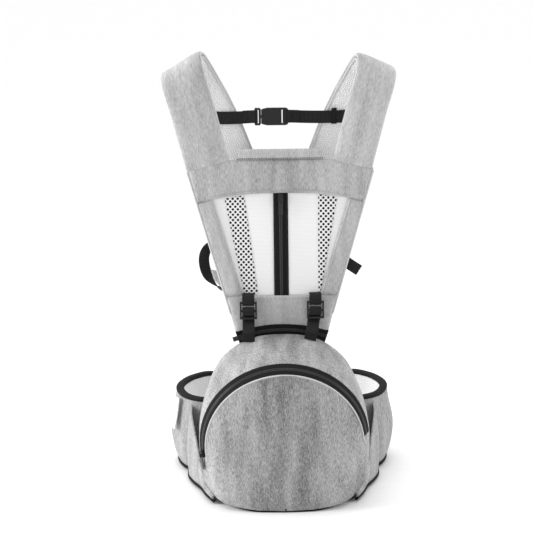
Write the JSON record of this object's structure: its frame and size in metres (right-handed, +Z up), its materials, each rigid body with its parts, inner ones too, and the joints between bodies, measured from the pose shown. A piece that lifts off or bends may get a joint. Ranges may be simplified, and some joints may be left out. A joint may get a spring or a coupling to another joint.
{
  "type": "baby carrier",
  "caption": "Hip-seat baby carrier: padded seat with arched zip pocket, waist belt ring, mesh front panel, folded shoulder straps and buckles.",
  "frame": {"origin": "on the floor, under the middle of the hip seat", "axes": "+Z up; +Y towards the wearer, through the waist belt; +X to the right when the seat front faces the viewer"},
  "size_m": [0.3672, 0.3712, 0.6819],
  "materials": {
    "heather_cloth": "heather plain weave",
    "black_cloth": "plain weave",
    "white_mesh": "open spacer mesh",
    "white_cloth": "plain weave",
    "black_binding": "ribbed tape",
    "black_webbing": "ribbed webbing",
    "zip_tape": "woven tape with nylon coil",
    "foam": "moulded foam bead",
    "zip_metal": "satin",
    "black_plastic": "fine satin"
  },
  "bodies": {
    "carrier": {"belt_back_pad": "black_cloth", "belt_gusset_left": "heather_cloth", "belt_gusset_right": "heather_cloth", "belt_lining_left": "white_mesh", "belt_lining_right": "white_mesh", "belt_low_binding_left": "black_binding", "belt_low_binding_right": "black_binding", "belt_tab_left": "white_cloth", "belt_top_binding_left": "black_binding", "belt_top_binding_right": "black_binding", "belt_wing_left": "heather_cloth", "belt_wing_right": "heather_cloth", "centre_zip_tape": "zip_tape", "chest_plug": "black_plastic", "chest_socket": "black_plastic", "chest_webbing_left": "black_webbing", "chest_webbing_right": "black_webbing", "lock_loop_left": "black_webbing", "lock_loop_right": "black_webbing", "lock_strap_left": "black_webbing", "lock_strap_right": "black_webbing", "neck_flap": "heather_cloth", "panel_base": "heather_cloth", "panel_mesh_left": "white_mesh", "panel_mesh_right": "white_mesh", "panel_side_left": "heather_cloth", "panel_side_right": "heather_cloth", "panel_top_band": "heather_cloth", "panel_vent_left": "white_mesh", "panel_vent_right": "white_mesh", "pocket_zip_tape": "zip_tape", "seat_base_panel": "black_cloth", "seat_foam_core": "foam", "seat_front_pocket": "heather_cloth", "seat_top_cover": "heather_cloth", "seat_zip_tape": "zip_tape", "shoulder_mesh_left": "white_mesh", "shoulder_mesh_right": "white_mesh", "shoulder_pad_left": "heather_cloth", "shoulder_pad_right": "heather_cloth", "side_tab_left": "heather_cloth", "side_tab_right": "heather_cloth", "side_webbing_left": "black_webbing", "side_webbing_right": "black_webbing", "waist_plug": "black_plastic", "waist_socket": "black_plastic", "waist_webbing_left": "black_webbing", "waist_webbing_right": "black_webbing"},
    "pocket_slider": {"pocket_zip_slider": "zip_metal"},
    "pocket_pull": {"pocket_zip_pull": "zip_metal"},
    "centre_slider": {"centre_zip_slider": "zip_metal"},
    "centre_pull": {"centre_zip_pull": "zip_metal"},
    "seat_slider": {"seat_zip_slider": "zip_metal"},
    "seat_pull": {"seat_zip_pull": "zip_metal"},
    "chest_prong_up": {"chest_prong_upper": "black_plastic"},
    "chest_prong_low": {"chest_prong_lower": "black_plastic"},
    "waist_prong_up": {"waist_prong_upper": "black_plastic"},
    "waist_prong_low": {"waist_prong_lower": "black_plastic"},
    "lock_left": {"ladder_lock_left": "black_plastic"},
    "lock_right": {"ladder_lock_right": "black_plastic"}
  },
  "joints": [
    {"name": "pocket_slider_run", "type": "hinge", "parent": "carrier", "child": "pocket_slider", "pos_m": [0, -0.04, 0.098], "axis": [0, -0.9816, -0.1908], "range_deg": [-178, 0]},
    {"name": "pocket_pull_swing", "type": "hinge", "parent": "pocket_slider", "child": "pocket_pull", "pos_m": [-0.12844, -0.04887, 0.08021], "axis": [-0.4439, 0.8884, 0.1172], "range_deg": [0, 150]},
    {"name": "centre_slider_run", "type": "slide", "parent": "carrier", "child": "centre_slider", "axis": [0, 0.0436, 0.999], "range_m": [-0.124, 0]},
    {"name": "centre_pull_swing", "type": "hinge", "parent": "centre_slider", "child": "centre_pull", "pos_m": [0, 0.082, 0.45302], "axis": [-1, 0, 0], "range_deg": [0, 150]},
    {"name": "seat_slider_run", "type": "hinge", "parent": "carrier", "child": "seat_slider", "pos_m": [0, 0.0753, 0.019], "axis": [0, 1, 0], "range_deg": [0, 32]},
    {"name": "seat_pull_swing", "type": "hinge", "parent": "seat_slider", "child": "seat_pull", "pos_m": [-0.06174, 0.0696, 0.23432], "axis": [-0.2756, 0, 0.9613], "range_deg": [0, 150]},
    {"name": "chest_squeeze_up", "type": "hinge", "parent": "carrier", "child": "chest_prong_up", "pos_m": [-0.028, 0.1246, 0.5854], "axis": [0, 1, 0], "range_deg": [0, 13], "stiffness_Nm_per_rad": 0.05},
    {"name": "chest_squeeze_low", "type": "hinge", "parent": "carrier", "child": "chest_prong_low", "pos_m": [-0.028, 0.1246, 0.5686], "axis": [0, -1, 0], "range_deg": [0, 13], "stiffness_Nm_per_rad": 0.05},
    {"name": "waist_squeeze_up", "type": "hinge", "parent": "carrier", "child": "waist_prong_up", "pos_m": [-0.0172, 0.272, 0.07944], "axis": [0, 1, 0], "range_deg": [0, 13], "stiffness_Nm_per_rad": 0.15},
    {"name": "waist_squeeze_low", "type": "hinge", "parent": "carrier", "child": "waist_prong_low", "pos_m": [-0.0172, 0.272, 0.05256], "axis": [0, -1, 0], "range_deg": [0, 13], "stiffness_Nm_per_rad": 0.15},
    {"name": "lock_tilt_left", "type": "hinge", "parent": "carrier", "child": "lock_left", "pos_m": [-0.053, 0.068, 0.289], "axis": [-1, 0, 0], "range_deg": [0, 8]},
    {"name": "lock_tilt_right", "type": "hinge", "parent": "carrier", "child": "lock_right", "pos_m": [0.053, 0.068, 0.289], "axis": [-1, 0, 0], "range_deg": [0, 8]}
  ],
  "couplings": [
    {"joint": "chest_squeeze_low", "follows": "chest_squeeze_up", "ratio": 1},
    {"joint": "waist_squeeze_low", "follows": "waist_squeeze_up", "ratio": 1}
  ]
}
